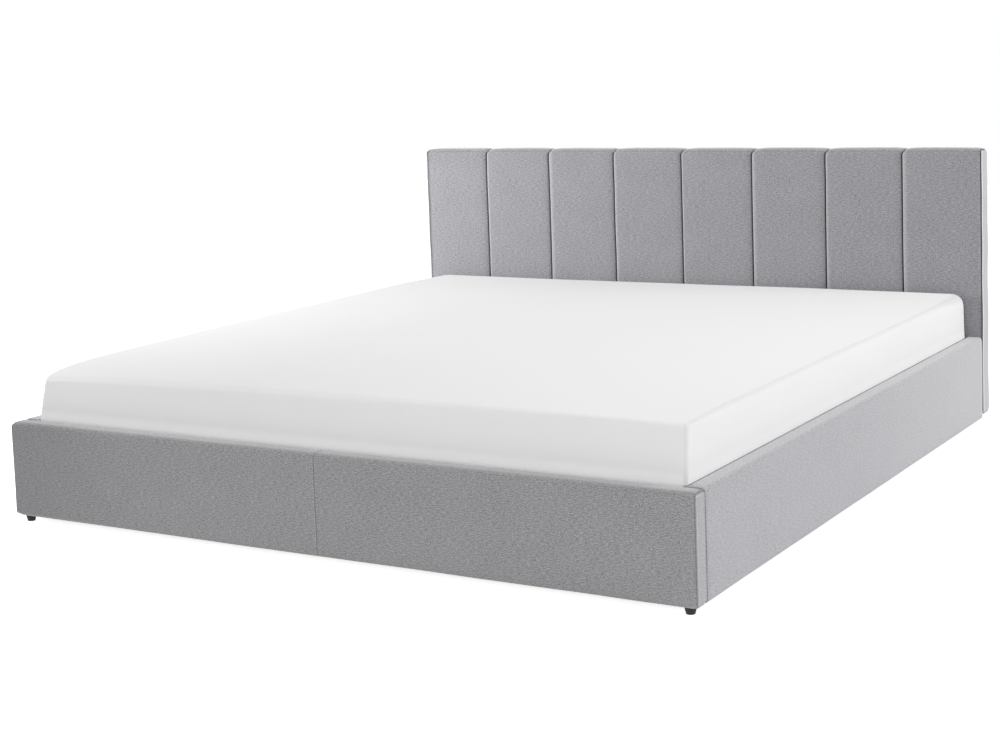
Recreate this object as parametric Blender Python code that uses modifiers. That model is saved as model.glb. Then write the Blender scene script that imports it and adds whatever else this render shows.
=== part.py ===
"""Ottoman bed: an upholstered frame with a storage box under a gas-lifted slatted base.

Units are metres, +Z is up and +Y points to the headboard. The origin is on the ground, at the middle
of the bed's outline. Distances along the bed are often given from the headboard's face towards the foot,
as "from_head".
"""
import math

import bmesh
import bpy
from mathutils import Matrix, Vector

# Clearance between touching pieces, and the overruns of cuts and of fused pieces
seat_gap = 0.0003
cut_overrun = 0.004
fusion_overlap = 0.0006
weld_distance = 0.00003

# Mattress and the clear space round it
mattress_width = 1.834
mattress_length = 1.975
mattress_height = 0.198
mattress_edge = 0.050
mattress_top_taper = 0.009
mattress_crown = 0.004
mattress_soft_levels = 2
side_clearance = 0.005
head_clearance = 0.015
foot_clearance = 0.020

# Upholstered panels
rail_thickness = 0.048
rail_height = 0.249
footboard_thickness = 0.051
panel_edge_radius = 0.011
panel_edge_steps = 3
seam_width = 0.0024
seam_depth = 0.0018

# Headboard
headboard_height = 0.831
headboard_side_overhang = 0.004
headboard_ground_clearance = 0.029
board_thickness = 0.035
board_edge_radius = 0.008
pad_thickness = 0.035
pad_edge_radius = 0.010
channel_count = 8
channel_depth = 0.010
channel_power = 3.2
channel_top_notch = 0.0035
channel_column_shares = (0.0, 0.05, 0.15, 0.32, 0.5, 0.68, 0.85, 0.95)
pad_edge_row_shares = (0.0, 0.13, 0.5, 1.0)
pad_middle_row_shares = (0.35, 0.7)
rail_press_depth = 0.009

# Feet
foot_height = 0.0157
foot_top_radius = 0.014
foot_tip_radius = 0.010
front_foot_inset = 0.028
rear_foot_inset = 0.042

# Storage floor
floor_ledge_width = 0.020
floor_ledge_height = 0.0137
floor_panel_thickness = 0.008
floor_beam_width = 0.080
beam_block_width = 0.060
beam_block_shares = (0.33, 0.67)

# Corner brackets
bracket_leg = 0.075
bracket_leg_head = 0.060
bracket_steel = 0.003
bracket_top_drop = 0.007
shelf_corner_share = 0.55

# Base frame that carries the mattress
frame_underside = 0.157
frame_side_setback = 0.037
frame_head_setback = 0.020
tube_width = 0.030
tube_height = 0.030
tube_wall = 0.002
centre_tube_width = 0.040

# Sprung slats
slat_rows = 12
slat_width = 0.065
slat_thickness = 0.008
slat_bow = 0.005
slat_end_setback = 0.002
slat_middle_gap = 0.006
slat_first_from_end = 0.075
slat_chamfer = 0.002
slat_cells = 6

# Mattress bar and pull strap at the foot end
bar_radius = 0.005
bar_span = 0.200
bar_rise = 0.063
bar_drop = 0.022
bar_bend_radius = 0.018
bar_bend_steps = 4
bar_round_steps = 2
strap_width = 0.040
strap_web = 0.002
strap_rise = 0.048
strap_from_middle = 0.045

# Lift mechanism: pivots, from the headboard's face and over the storage floor or the frame's underside
rear_fixed_pivot_from_head = 0.575
rear_fixed_pivot_over_floor = 0.107
front_fixed_pivot_from_head = 1.077
front_fixed_pivot_over_floor = 0.024
spring_fixed_pivot_from_head = 0.397
spring_fixed_pivot_over_floor = 0.017
rear_moving_pivot_from_head = 0.402
rear_moving_pivot_over_frame = 0.031
front_moving_pivot_from_head = 0.538
front_moving_pivot_under_frame = 0.003
spring_lug_share = 0.6364
spring_lug_offset = 0.040

# Lift mechanism: steel and pins
plate_steel = 0.0030
link_steel = 0.0035
web_steel = 0.0028
layer_gap = 0.0004
plate_end_radius = 0.016
link_end_radius = 0.018
lug_end_radius = 0.014
bracket_end_radius = 0.0135
pin_radius = 0.005
pin_clearance = 0.0003
pin_head_radius = 0.009
pin_head_height = 0.0012
shoulder_radius = 0.008
web_flange_inset = 0.018

# Gas spring
spring_from_rail = 0.031
cylinder_radius = 0.011
cylinder_start = 0.022
cylinder_length = 0.225
cylinder_nose = 0.003
cylinder_bore_floor = 0.012
rod_radius = 0.005
rod_hidden_length = 0.195
neck_radius = 0.004
eye_radius = 0.011
eye_width = 0.010
eye_pin_radius = 0.004
eye_pin_head_radius = 0.0065
eye_pin_head_height = 0.002

# Facets of round shapes
round_steps = 20
hull_steps = 40
crease_angle = math.radians(35)

# Sizes that follow from the ones above
half_width = mattress_width / 2 + side_clearance + rail_thickness
rail_inner = half_width - rail_thickness
inner_length = head_clearance + mattress_length + foot_clearance
bed_length = footboard_thickness + inner_length + pad_thickness + board_thickness
foot_end = -bed_length / 2
foot_face = foot_end + footboard_thickness
head_face = foot_face + inner_length
back_face = head_face + pad_thickness + board_thickness
panel_bottom = foot_height + seat_gap
rail_top = panel_bottom + rail_height
floor_underside = panel_bottom + floor_ledge_height + seat_gap
floor_top = floor_underside + floor_panel_thickness
frame_top = frame_underside + tube_height
slat_underside = frame_top + seat_gap
mattress_bottom = slat_underside + slat_thickness + slat_bow + seat_gap
frame_half_width = mattress_width / 2 - frame_side_setback
frame_head = head_clearance + frame_head_setback
frame_foot = head_clearance + mattress_length
rail_end = head_face + rail_press_depth
headboard_half_width = half_width + headboard_side_overhang

# Layers of the lift mechanism, from the rail inwards
plate_outer = rail_inner - seat_gap
plate_inner = plate_outer - plate_steel
rear_link_outer = plate_inner - layer_gap
rear_link_inner = rear_link_outer - link_steel
pin_head_inner = rear_link_inner - seat_gap - pin_head_height
front_link_outer = pin_head_inner - layer_gap
front_link_inner = front_link_outer - link_steel
front_head_inner = front_link_inner - seat_gap - pin_head_height
web_outer = front_head_inner - layer_gap
web_inner = web_outer - web_steel
spring_plane = rail_inner - spring_from_rail


def along(from_head):
    """World Y of a place measured from the headboard's face towards the foot."""
    return head_face - from_head


# Pivots in the plane of the side, as (y, z)
rear_fixed = Vector((along(rear_fixed_pivot_from_head), floor_top + rear_fixed_pivot_over_floor))
front_fixed = Vector((along(front_fixed_pivot_from_head), floor_top + front_fixed_pivot_over_floor))
spring_fixed = Vector((along(spring_fixed_pivot_from_head), floor_top + spring_fixed_pivot_over_floor))
rear_moving = Vector((along(rear_moving_pivot_from_head), frame_underside + rear_moving_pivot_over_frame))
front_moving_height = frame_underside - front_moving_pivot_under_frame
front_moving = Vector((along(front_moving_pivot_from_head), front_moving_height))
link_line = front_moving - front_fixed
link_normal = Vector((-link_line.y, link_line.x)).normalized()
spring_moving = front_fixed + link_line * spring_lug_share + link_normal * spring_lug_offset


# Scene set-up
for old in list(bpy.data.objects):
    bpy.data.objects.remove(old, do_unlink=True)

parts = bpy.data.collections.new("ottoman_bed")
cutters = bpy.data.collections.new("cutters")
bpy.context.scene.collection.children.link(parts)
bpy.context.scene.collection.children.link(cutters)


def make_material(name, colour, roughness, metallic=0.0):
    material = bpy.data.materials.new(name)
    material.use_nodes = True
    shader = material.node_tree.nodes["Principled BSDF"]
    shader.inputs["Base Color"].default_value = (*colour, 1.0)
    shader.inputs["Roughness"].default_value = roughness
    shader.inputs["Metallic"].default_value = metallic
    return material


grey_weave = make_material("grey_weave", (0.40, 0.40, 0.43), 0.9)
white_cover = make_material("white_cover", (0.86, 0.86, 0.86), 0.85)
painted_steel = make_material("painted_steel", (0.06, 0.06, 0.065), 0.45, 0.3)
zinc_steel = make_material("zinc_steel", (0.55, 0.56, 0.58), 0.35, 1.0)
birch = make_material("birch", (0.66, 0.47, 0.29), 0.5)
floor_board = make_material("floor_board", (0.30, 0.29, 0.28), 0.7)
black_plastic = make_material("black_plastic", (0.02, 0.02, 0.02), 0.5)
black_webbing = make_material("black_webbing", (0.03, 0.03, 0.03), 0.85)


def add_object(name, mesh, material=None, collection=parts):
    piece = bpy.data.objects.new(name, mesh)
    collection.objects.link(piece)
    if material is not None and not mesh.materials:
        mesh.materials.append(material)
    if collection is cutters:
        piece.hide_render = True
        piece.display_type = "WIRE"
    return piece


def mesh_from(bm, name):
    mesh = bpy.data.meshes.new(name)
    bm.to_mesh(mesh)
    bm.free()
    return mesh


def add_box(bm, low, high):
    low, high = Vector(low), Vector(high)
    place = Matrix.Translation((low + high) / 2) @ Matrix.Diagonal((*(high - low), 1.0))
    bmesh.ops.create_cube(bm, size=1.0, matrix=place)


def add_cylinder_x(bm, centre, x_from, x_to, radius):
    """A closed cylinder along X, about the point (y, z)."""
    middle = Matrix.Translation(((x_from + x_to) / 2, centre[0], centre[1]))
    bmesh.ops.create_cone(
        bm, cap_ends=True, segments=round_steps, radius1=radius, radius2=radius,
        depth=abs(x_to - x_from), matrix=middle @ Matrix.Rotation(math.pi / 2, 4, "Y"))


def box(name, low, high, material=None, collection=parts):
    bm = bmesh.new()
    add_box(bm, low, high)
    return add_object(name, mesh_from(bm, name), material, collection)


def flat_solid(name, outline, thickness, place, holes=(), material=None, collection=parts):
    """A plate cut from a flat outline, with round or square holes, moved by the matrix place."""
    curve = bpy.data.curves.new(name + "_outline", "CURVE")
    curve.dimensions = "2D"
    curve.fill_mode = "BOTH"
    curve.extrude = thickness / 2
    for loop in (outline, *holes):
        spline = curve.splines.new("POLY")
        spline.points.add(len(loop) - 1)
        for point, (u, v) in zip(spline.points, loop):
            point.co = (u, v, 0.0, 1.0)
        spline.use_cyclic_u = True
    drawn = add_object(name + "_outline", curve)
    drawn.data.materials.clear()
    bpy.context.view_layer.update()
    evaluated = drawn.evaluated_get(bpy.context.evaluated_depsgraph_get())
    mesh = bpy.data.meshes.new_from_object(evaluated)
    bpy.data.objects.remove(drawn, do_unlink=True)
    bm = bmesh.new()
    bm.from_mesh(mesh)
    bmesh.ops.remove_doubles(bm, verts=bm.verts, dist=weld_distance)
    bmesh.ops.transform(bm, matrix=place, verts=bm.verts)
    bmesh.ops.recalc_face_normals(bm, faces=bm.faces)
    bm.to_mesh(mesh)
    bm.free()
    mesh.name = name
    return add_object(name, mesh, material, collection)


def side_plate_place(x_middle):
    """Puts a flat outline drawn as (y, z) in the plane across X."""
    turn = Matrix.Rotation(math.pi / 2, 4, "Z") @ Matrix.Rotation(math.pi / 2, 4, "X")
    return Matrix.Translation((x_middle, 0.0, 0.0)) @ turn


def cut(piece, cutter):
    modifier = piece.modifiers.new("cut_" + cutter.name, "BOOLEAN")
    modifier.operation = "DIFFERENCE"
    modifier.solver = "EXACT"
    modifier.object = cutter


def fuse(piece, guide):
    modifier = piece.modifiers.new("fuse_" + guide.name, "BOOLEAN")
    modifier.operation = "UNION"
    modifier.solver = "EXACT"
    modifier.object = guide


def round_edges(piece, radius, steps):
    modifier = piece.modifiers.new("rounded_edges", "BEVEL")
    modifier.width = radius
    modifier.segments = steps
    modifier.limit_method = "ANGLE"
    modifier.use_clamp_overlap = True


def shade_round(piece):
    piece.data.shade_smooth()
    piece.data.set_sharp_from_angle(angle=crease_angle)


def move_origin(piece, point):
    """Sets a piece's origin on its joint's axis without moving the piece."""
    piece.data.transform(Matrix.Translation(-Vector(point)))
    piece.location = point


def circle(centre, radius, steps=round_steps):
    turns = [2 * math.pi * step / steps for step in range(steps)]
    return [(centre[0] + radius * math.cos(turn), centre[1] + radius * math.sin(turn)) for turn in turns]


def wrapped_outline(discs):
    """The outline of a band pulled tight round discs, given as (centre, radius)."""
    points = sorted({point for centre, radius in discs for point in circle(centre, radius, hull_steps)})

    def chain(ordered):
        kept = []
        for point in ordered:
            while len(kept) > 1 and turn_of(kept[-2], kept[-1], point) <= 0:
                kept.pop()
            kept.append(point)
        return kept[:-1]

    return chain(points) + chain(points[::-1])


def turn_of(a, b, c):
    return (b[0] - a[0]) * (c[1] - a[1]) - (b[1] - a[1]) * (c[0] - a[0])


# Upholstered panels
def add_footboard():
    """The panel across the foot end, with a seam up its middle that runs on over the top."""
    low, high = (-half_width, foot_end, panel_bottom), (half_width, foot_face, rail_top)
    footboard = box("footboard", low, high, grey_weave)
    round_edges(footboard, panel_edge_radius, panel_edge_steps)
    half, start, above = seam_width / 2, foot_end - cut_overrun, rail_top + cut_overrun
    low, high = (-half, start, panel_bottom - cut_overrun), (half, foot_end + seam_depth, above)
    cut(footboard, box("footboard_front_seam", low, high, collection=cutters))
    low, high = (-half, start, rail_top - seam_depth), (half, foot_face + cut_overrun, above)
    cut(footboard, box("footboard_top_seam", low, high, collection=cutters))
    shade_round(footboard)


def add_side_rail(name, side):
    """A rail with the ledge along its foot that carries the storage floor."""
    near, far = sorted((side * rail_inner, side * half_width))
    start = foot_face + seat_gap
    rail = box(name, (near, start, panel_bottom), (far, rail_end, rail_top), grey_weave)
    round_edges(rail, panel_edge_radius, panel_edge_steps)
    root = rail_inner + 2 * panel_edge_radius
    near, far = sorted((side * root, side * (rail_inner - floor_ledge_width)))
    low, high = (near, start, panel_bottom), (far, head_face - seat_gap, panel_bottom + floor_ledge_height)
    fuse(rail, box(name + "_ledge", low, high, collection=cutters))
    shade_round(rail)


# Headboard
def channel_swell(x):
    """How far a channel swells at x: 0 at its seams, 1 along its middle."""
    share = (x + headboard_half_width) / (2 * headboard_half_width) * channel_count % 1.0
    return 1.0 - abs(2 * share - 1) ** channel_power


def edge_fall(distance):
    """How far a rounded edge falls back, this far in from the outline."""
    left = min(pad_edge_radius, max(0.0, pad_edge_radius - distance))
    return pad_edge_radius - math.sqrt(pad_edge_radius ** 2 - left ** 2)


def add_headboard_pad():
    """The padded front with its channels; the rails' ends and their brackets press into it."""
    channel_width = 2 * headboard_half_width / channel_count
    bm = bmesh.new()
    add_box(bm, (-headboard_half_width, head_face, headboard_ground_clearance),
            (headboard_half_width, head_face + pad_thickness - seat_gap, headboard_height))
    columns = [-headboard_half_width + (channel + share) * channel_width
               for channel in range(channel_count) for share in channel_column_shares]
    rows = [headboard_ground_clearance + share * pad_edge_radius for share in pad_edge_row_shares]
    rows += [headboard_height - share * pad_edge_radius for share in pad_edge_row_shares]
    span = headboard_height - headboard_ground_clearance
    rows += [headboard_ground_clearance + share * span for share in pad_middle_row_shares]
    for x in columns:
        slice_at(bm, (x, 0.0, 0.0), (1.0, 0.0, 0.0))
    for z in rows:
        slice_at(bm, (0.0, 0.0, z), (0.0, 0.0, 1.0))
    for vertex in bm.verts:
        x, y, z = vertex.co
        swell = channel_swell(x)
        from_side = headboard_half_width - abs(x)
        from_end = min(headboard_height - z, z - headboard_ground_clearance)
        if y < head_face + pad_thickness / 2:
            fall = max(edge_fall(from_side), edge_fall(from_end))
            vertex.co.y += channel_depth * (1 - swell) + fall
        if z > headboard_height - pad_edge_radius * 2:
            vertex.co.z -= channel_top_notch * (1 - swell)
    pad = add_object("headboard_pad", mesh_from(bm, "headboard_pad"), grey_weave)
    bm = bmesh.new()
    bracket_end = rail_inner - bracket_leg_head - seat_gap
    for side in (-1, 1):
        near, far = sorted((side * bracket_end, side * (half_width + bracket_leg)))
        low = (near, head_face - bracket_leg, headboard_ground_clearance - bracket_leg)
        add_box(bm, low, (far, rail_end + seat_gap, rail_top + seat_gap))
    cut(pad, add_object("rail_press_cut", mesh_from(bm, "rail_press_cut"), collection=cutters))
    shade_round(pad)


def slice_at(bm, place, normal):
    everything = bm.verts[:] + bm.edges[:] + bm.faces[:]
    bmesh.ops.bisect_plane(bm, geom=everything, plane_co=place, plane_no=normal, dist=weld_distance)


def add_headboard_board():
    low = (-headboard_half_width, head_face + pad_thickness, headboard_ground_clearance)
    board = box("headboard_board", low, (headboard_half_width, back_face, headboard_height), grey_weave)
    round_edges(board, board_edge_radius, panel_edge_steps)
    shade_round(board)


# Feet
def add_foot(name, x, y):
    profile = ((0.0, foot_height), (foot_top_radius, foot_height), (foot_tip_radius, 0.0), (0.0, 0.0))
    foot = turned(name, profile, black_plastic)
    foot.location = (x, y, 0.0)


def turned(name, profile, material):
    """A profile of (radius, height) turned about Z."""
    mesh = bpy.data.meshes.new(name)
    vertices = [(radius, 0.0, height) for radius, height in profile]
    mesh.from_pydata(vertices, [(i, i + 1) for i in range(len(vertices) - 1)], [])
    piece = add_object(name, mesh, material)
    screw = piece.modifiers.new("turn", "SCREW")
    screw.axis = "Z"
    screw.angle = 2 * math.pi
    screw.steps = round_steps
    screw.render_steps = round_steps
    screw.use_merge_vertices = True
    screw.merge_threshold = weld_distance
    screw.use_smooth_shade = True
    return piece


# Storage floor
def add_floor():
    """Two panels on the rails' ledges, and the beam under their joint with its blocks on the ground."""
    start, end = foot_face + seat_gap, head_face - seat_gap
    for name, side in (("floor_panel_left", -1), ("floor_panel_right", 1)):
        near, far = sorted((side * seat_gap / 2, side * (rail_inner - seat_gap)))
        box(name, (near, start, floor_underside), (far, end, floor_top), floor_board)
    half = floor_beam_width / 2
    beam_low = panel_bottom + seat_gap
    beam = box("floor_beam", (-half, start, beam_low), (half, end, floor_underside - seat_gap), birch)
    bm = bmesh.new()
    half = beam_block_width / 2
    for share in beam_block_shares:
        middle = foot_face + share * inner_length
        add_box(bm, (-half, middle - half, 0.0), (half, middle + half, beam_low + fusion_overlap))
    fuse(beam, add_object("floor_beam_blocks", mesh_from(bm, "floor_beam_blocks"), collection=cutters))


# Corner brackets
def add_corner_bracket(name, side, at_foot):
    """An upright angle in a corner; at the foot end it has a shelf that the base frame comes down on."""
    face = foot_face + seat_gap if at_foot else rail_end
    inwards = 1 if at_foot else -1
    leg = bracket_leg if at_foot else bracket_leg_head
    x0 = side * (rail_inner - seat_gap)
    steel = bracket_steel
    low = floor_top + seat_gap
    high = frame_underside - (seat_gap + bracket_steel if at_foot else bracket_top_drop)
    corners = [(0.0, 0.0), (leg, 0.0), (leg, steel), (steel, steel), (steel, leg), (0.0, leg)]
    outline = [(x0 - side * a, face + inwards * b) for a, b in corners]
    top = high + (fusion_overlap if at_foot else 0.0)
    bracket = flat_solid(name, outline, top - low, Matrix.Translation((0.0, 0.0, (low + top) / 2)),
                         material=painted_steel)
    if at_foot:
        bevel = leg * shelf_corner_share
        corners = [(0.0, 0.0), (leg, 0.0), (leg, bevel), (bevel, leg), (0.0, leg)]
        outline = [(x0 - side * a, face + inwards * b) for a, b in corners]
        shelf = flat_solid(name + "_shelf", outline, bracket_steel,
                           Matrix.Translation((0.0, 0.0, high + bracket_steel / 2)), collection=cutters)
        fuse(bracket, shelf)


# Base frame
def square_tube(name, low, high, axis):
    """A hollow tube with open ends between two corners, along X or Y."""
    low, high = Vector(low), Vector(high)
    middle = (low + high) / 2
    size = high - low
    across = size.y if axis == "X" else size.x
    half_a, half_b = across / 2, size.z / 2
    outer = rectangle(half_a, half_b)
    inner = rectangle(half_a - tube_wall, half_b - tube_wall)
    stand = Matrix.Rotation(math.pi / 2, 4, "X")
    if axis == "X":
        stand = Matrix.Rotation(math.pi / 2, 4, "Z") @ stand
    length = size.x if axis == "X" else size.y
    place = Matrix.Translation(middle) @ stand
    return flat_solid(name, outer, length, place, holes=(inner,), material=painted_steel)


def rectangle(half_a, half_b):
    return [(-half_a, -half_b), (half_a, -half_b), (half_a, half_b), (-half_a, half_b)]


def add_base_frame():
    side_inner = frame_half_width - tube_width
    low, high = frame_underside, frame_top
    tubes = []
    for name, side in (("frame_tube_left", -1), ("frame_tube_right", 1)):
        near, far = sorted((side * side_inner, side * frame_half_width))
        tubes.append(square_tube(name, (near, along(frame_foot), low), (far, along(frame_head), high), "Y"))
    cross = side_inner - seat_gap
    tubes.append(square_tube("frame_tube_head", (-cross, along(frame_head + tube_width), low),
                             (cross, along(frame_head), high), "X"))
    tubes.append(square_tube("frame_tube_foot", (-cross, along(frame_foot), low),
                             (cross, along(frame_foot - tube_width), high), "X"))
    half = centre_tube_width / 2
    start, end = along(frame_foot - tube_width - seat_gap), along(frame_head + tube_width + seat_gap)
    tubes.append(square_tube("frame_tube_centre", (-half, start, low), (half, end, high), "Y"))
    return tubes


# Sprung slats
def slat_mesh():
    """A bowed slat, drawn about its own middle and resting on z = 0 at its ends."""
    length = frame_half_width - slat_end_setback - slat_middle_gap / 2
    bm = bmesh.new()
    add_box(bm, (-length / 2, -slat_width / 2, 0.0), (length / 2, slat_width / 2, slat_thickness))
    long_edges = [edge for edge in bm.edges if abs(edge.verts[0].co.x - edge.verts[1].co.x) > slat_width]
    bmesh.ops.bevel(bm, geom=long_edges, offset=slat_chamfer, segments=1, affect="EDGES")
    for cell in range(1, slat_cells):
        slice_at(bm, (-length / 2 + length * cell / slat_cells, 0.0, 0.0), (1.0, 0.0, 0.0))
    for vertex in bm.verts:
        share = 2 * vertex.co.x / length
        vertex.co.z += slat_bow * (1 - share ** 2)
    return mesh_from(bm, "slat"), length


def add_slats():
    """Two rows of slats, from the side tubes to the centre tube."""
    mesh, length = slat_mesh()
    first = frame_head + slat_first_from_end
    pitch = (frame_foot - slat_first_from_end - first) / (slat_rows - 1)
    middle = (slat_middle_gap + length) / 2
    slats = []
    for row in range(slat_rows):
        for label, side in (("left", -1), ("right", 1)):
            slat = add_object(f"slat_{label}_{row + 1:02d}", mesh, birch)
            slat.location = (side * middle, along(first + pitch * row), slat_underside)
            slats.append(slat)
    return slats


# Mattress
def add_mattress():
    """A soft block with tight edges: a rounder, narrower top that rises a little to its middle."""
    half_w, half_l = mattress_width / 2, mattress_length / 2
    middle = along(head_clearance + half_l)
    low = mattress_bottom
    high = mattress_bottom + mattress_height - mattress_crown
    bm = bmesh.new()
    add_box(bm, (-half_w, middle - half_l, low), (half_w, middle + half_l, high))
    for side in (-1, 1):
        slice_at(bm, (side * (half_w - mattress_edge), 0.0, 0.0), (1.0, 0.0, 0.0))
        slice_at(bm, (0.0, middle + side * (half_l - mattress_edge), 0.0), (0.0, 1.0, 0.0))
    for z in (low + mattress_edge, high - mattress_edge):
        slice_at(bm, (0.0, 0.0, z), (0.0, 0.0, 1.0))
    for vertex in bm.verts:
        if vertex.co.z < high - seat_gap:
            continue
        across, lengthways = vertex.co.x, vertex.co.y - middle
        on_side = abs(across) > half_w - seat_gap
        on_end = abs(lengthways) > half_l - seat_gap
        if on_side:
            vertex.co.x -= math.copysign(mattress_top_taper, across)
        if on_end:
            vertex.co.y -= math.copysign(mattress_top_taper, lengthways)
        if not on_side and not on_end:
            vertex.co.z += mattress_crown
    mattress = add_object("mattress", mesh_from(bm, "mattress"), white_cover)
    soften = mattress.modifiers.new("soft_form", "SUBSURF")
    soften.levels = mattress_soft_levels
    soften.render_levels = mattress_soft_levels
    mattress.data.shade_smooth()
    return mattress


# Mattress bar and pull strap
def add_mattress_bar():
    """A bent rod that stands on the foot tube's outer face and stops the mattress from sliding."""
    y = along(frame_foot) - seat_gap - bar_radius
    half = bar_span / 2 - bar_radius
    low, high = frame_top - bar_drop, frame_top + bar_rise - bar_radius
    bend = bar_bend_radius
    path = [(-half, low)]
    for turn, centre_x in ((math.pi, -half + bend), (math.pi / 2, half - bend)):
        for step in range(bar_bend_steps + 1):
            angle = turn - math.pi / 2 * step / bar_bend_steps
            path.append((centre_x + bend * math.cos(angle), high - bend + bend * math.sin(angle)))
    path.append((half, low))
    curve = bpy.data.curves.new("mattress_bar", "CURVE")
    curve.dimensions = "3D"
    curve.bevel_depth = bar_radius
    curve.bevel_resolution = bar_round_steps
    curve.use_fill_caps = True
    spline = curve.splines.new("POLY")
    spline.points.add(len(path) - 1)
    for point, (x, z) in zip(spline.points, path):
        point.co = (x, y, z, 1.0)
    return add_object("mattress_bar", curve, painted_steel)


def add_pull_strap():
    """Webbing wrapped round the foot tube, with a tail that stands up behind the footboard."""
    far, near = along(frame_foot) - seat_gap, along(frame_foot - tube_width) + seat_gap
    low, high = frame_underside - seat_gap, frame_top + seat_gap
    inner = [(far, low), (near, low), (near, high), (far, high)]
    web = strap_web
    tail_top = frame_top + strap_rise
    outer = [(far - web, low - web), (near + web, low - web), (near + web, high + web), (far, high + web),
             (far, tail_top), (far - 2 * web, tail_top), (far - 2 * web, high - web),
             (far - web, high - 2 * web)]
    place = side_plate_place(strap_from_middle)
    return flat_solid("pull_strap", outer, strap_width, place, holes=(inner,), material=black_webbing)


# Lift mechanism
def cylinders_x(name, side, cylinders):
    """A guide of cylinders along X on one side, each given as (centre, one x, other x, radius)."""
    bm = bmesh.new()
    for centre, x_from, x_to, radius in cylinders:
        add_cylinder_x(bm, centre, side * x_from, side * x_to, radius)
    return add_object(name, mesh_from(bm, name), collection=cutters)


def add_hinge_plate(side, label):
    """The plate on the rail, with the pins of both links and of the gas spring."""
    name = "hinge_plate_" + label
    discs = [(centre, plate_end_radius) for centre in (rear_fixed, front_fixed, spring_fixed)]
    place = side_plate_place(side * (plate_outer + plate_inner) / 2)
    plate = flat_solid(name, wrapped_outline(discs), plate_steel, place, material=painted_steel)
    root = plate_inner + fusion_overlap
    eye_inner = spring_plane - eye_width / 2 - seat_gap
    eye_outer = spring_plane + eye_width / 2 + seat_gap
    fuse(plate, cylinders_x(name + "_shafts", side, (
        (rear_fixed, root, pin_head_inner + fusion_overlap, pin_radius),
        (front_fixed, root, front_head_inner + fusion_overlap, pin_radius),
        (spring_fixed, root, eye_inner - fusion_overlap, eye_pin_radius))))
    fuse(plate, cylinders_x(name + "_heads", side, (
        (rear_fixed, pin_head_inner, pin_head_inner + pin_head_height, pin_head_radius),
        (front_fixed, front_head_inner, front_head_inner + pin_head_height, pin_head_radius),
        (front_fixed, root, front_link_outer + seat_gap, shoulder_radius),
        (spring_fixed, root, eye_outer, eye_pin_head_radius),
        (spring_fixed, eye_inner, eye_inner - eye_pin_head_height, eye_pin_head_radius))))


def add_rear_link(side, label):
    """The short link between the hinge plate and the lift bracket."""
    discs = [(centre, link_end_radius) for centre in (rear_fixed, rear_moving)]
    holes = [circle(centre, pin_radius + pin_clearance) for centre in (rear_fixed, rear_moving)]
    place = side_plate_place(side * (rear_link_outer + rear_link_inner) / 2)
    link = flat_solid("rear_link_" + label, wrapped_outline(discs), link_steel, place, holes, zinc_steel)
    move_origin(link, (0.0, rear_fixed.x, rear_fixed.y))


def add_front_link(side, label):
    """A three-cornered link: it guides the frame and takes the gas spring's push."""
    name = "front_link_" + label
    discs = [(front_fixed, link_end_radius), (front_moving, link_end_radius), (spring_moving, lug_end_radius)]
    holes = [circle(front_fixed, pin_radius + pin_clearance)]
    place = side_plate_place(side * (front_link_outer + front_link_inner) / 2)
    link = flat_solid(name, wrapped_outline(discs), link_steel, place, holes, zinc_steel)
    fuse(link, cylinders_x(name + "_pin", side, (
        (front_moving, front_link_outer + pin_head_height, web_outer + seat_gap, pin_head_radius),)))
    move_origin(link, (0.0, front_fixed.x, front_fixed.y))


def add_lift_bracket(side, label):
    """The angle under the base frame's side tube, with the pin that hangs it on the rear link."""
    name = "lift_bracket_" + label
    flange_top = frame_underside - seat_gap
    flange_low = flange_top - web_steel
    foot_side = front_moving.x - web_flange_inset
    head_side = rear_moving.x + web_flange_inset
    web_corner = flange_low + fusion_overlap
    discs = [(rear_moving, bracket_end_radius), (front_moving, link_end_radius),
             ((foot_side, web_corner), 0.0), ((head_side, web_corner), 0.0)]
    place = side_plate_place(side * (web_outer + web_inner) / 2)
    web = flat_solid(name, wrapped_outline(discs), web_steel, place, material=painted_steel)
    near, far = sorted((side * (frame_half_width - tube_width), side * (web_outer - web_steel / 2)))
    low, high = (near, foot_side, flange_low), (far, head_side, flange_top)
    fuse(web, box(name + "_flange", low, high, collection=cutters))
    fuse(web, cylinders_x(name + "_shoulder", side, (
        (rear_moving, web_outer - fusion_overlap, rear_link_inner - seat_gap, shoulder_radius),)))
    fuse(web, cylinders_x(name + "_pin", side, (
        (rear_moving, web_outer - fusion_overlap * 2, rear_link_outer, pin_radius),)))
    return web


# Gas spring, drawn upright from its fixed pin and then laid along its line
spring_line = spring_moving - spring_fixed
spring_length = spring_line.length
spring_lean = math.atan2(-spring_line.x, spring_line.y)


def lay_along_spring(piece, side, at):
    piece.rotation_euler = (spring_lean, 0.0, 0.0)
    piece.location = (side * spring_plane, at.x, at.y)


def eye_guide(name, side, at):
    x_from, x_to = spring_plane - eye_width / 2, spring_plane + eye_width / 2
    return cylinders_x(name, side, ((at, x_from, x_to, eye_radius),))


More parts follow.
